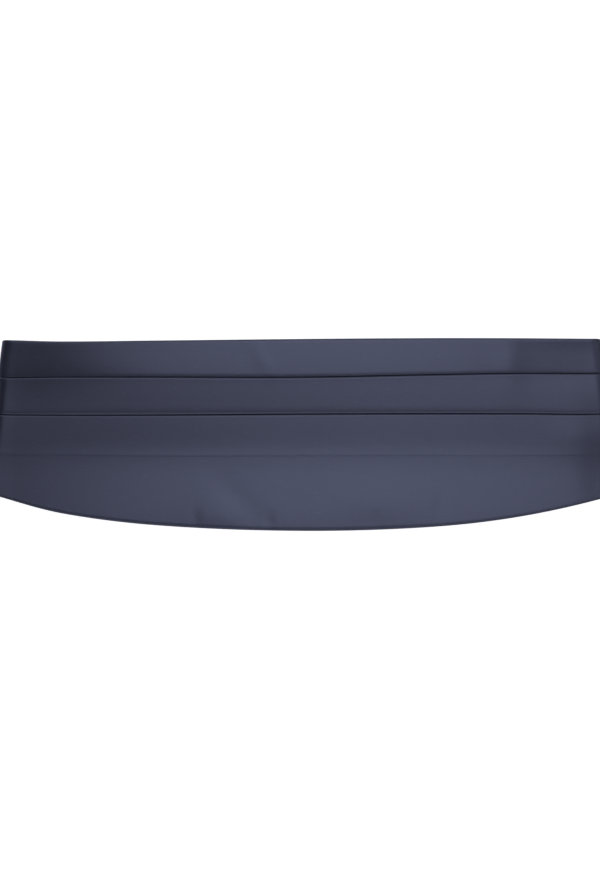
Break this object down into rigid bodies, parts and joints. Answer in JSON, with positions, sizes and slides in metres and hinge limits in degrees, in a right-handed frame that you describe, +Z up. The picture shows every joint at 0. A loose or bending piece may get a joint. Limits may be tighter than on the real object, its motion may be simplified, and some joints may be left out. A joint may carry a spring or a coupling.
{
  "type": "cummerbund",
  "caption": "Pleated satin cummerbund with upward-opening folds, closed behind by a strap and a plain clasp, lying flat with its front up.",
  "frame": {"origin": "middle of the footprint, on the surface that the cummerbund lies on", "axes": "+X along the band to the right as seen from above its front, +Y to the band's top edge, +Z up out of the front"},
  "size_m": [0.4238, 0.1276, 0.017],
  "materials": {
    "satin": "dark slate-navy satin with a faint crosswise slub",
    "webbing": "flat woven strap, dark navy",
    "plastic": "moulded black plastic"
  },
  "bodies": {
    "root": {"pleated_cloth": "satin", "strap_left": "webbing", "strap_right": "webbing", "clasp": "plastic"}
  },
  "joints": []
}
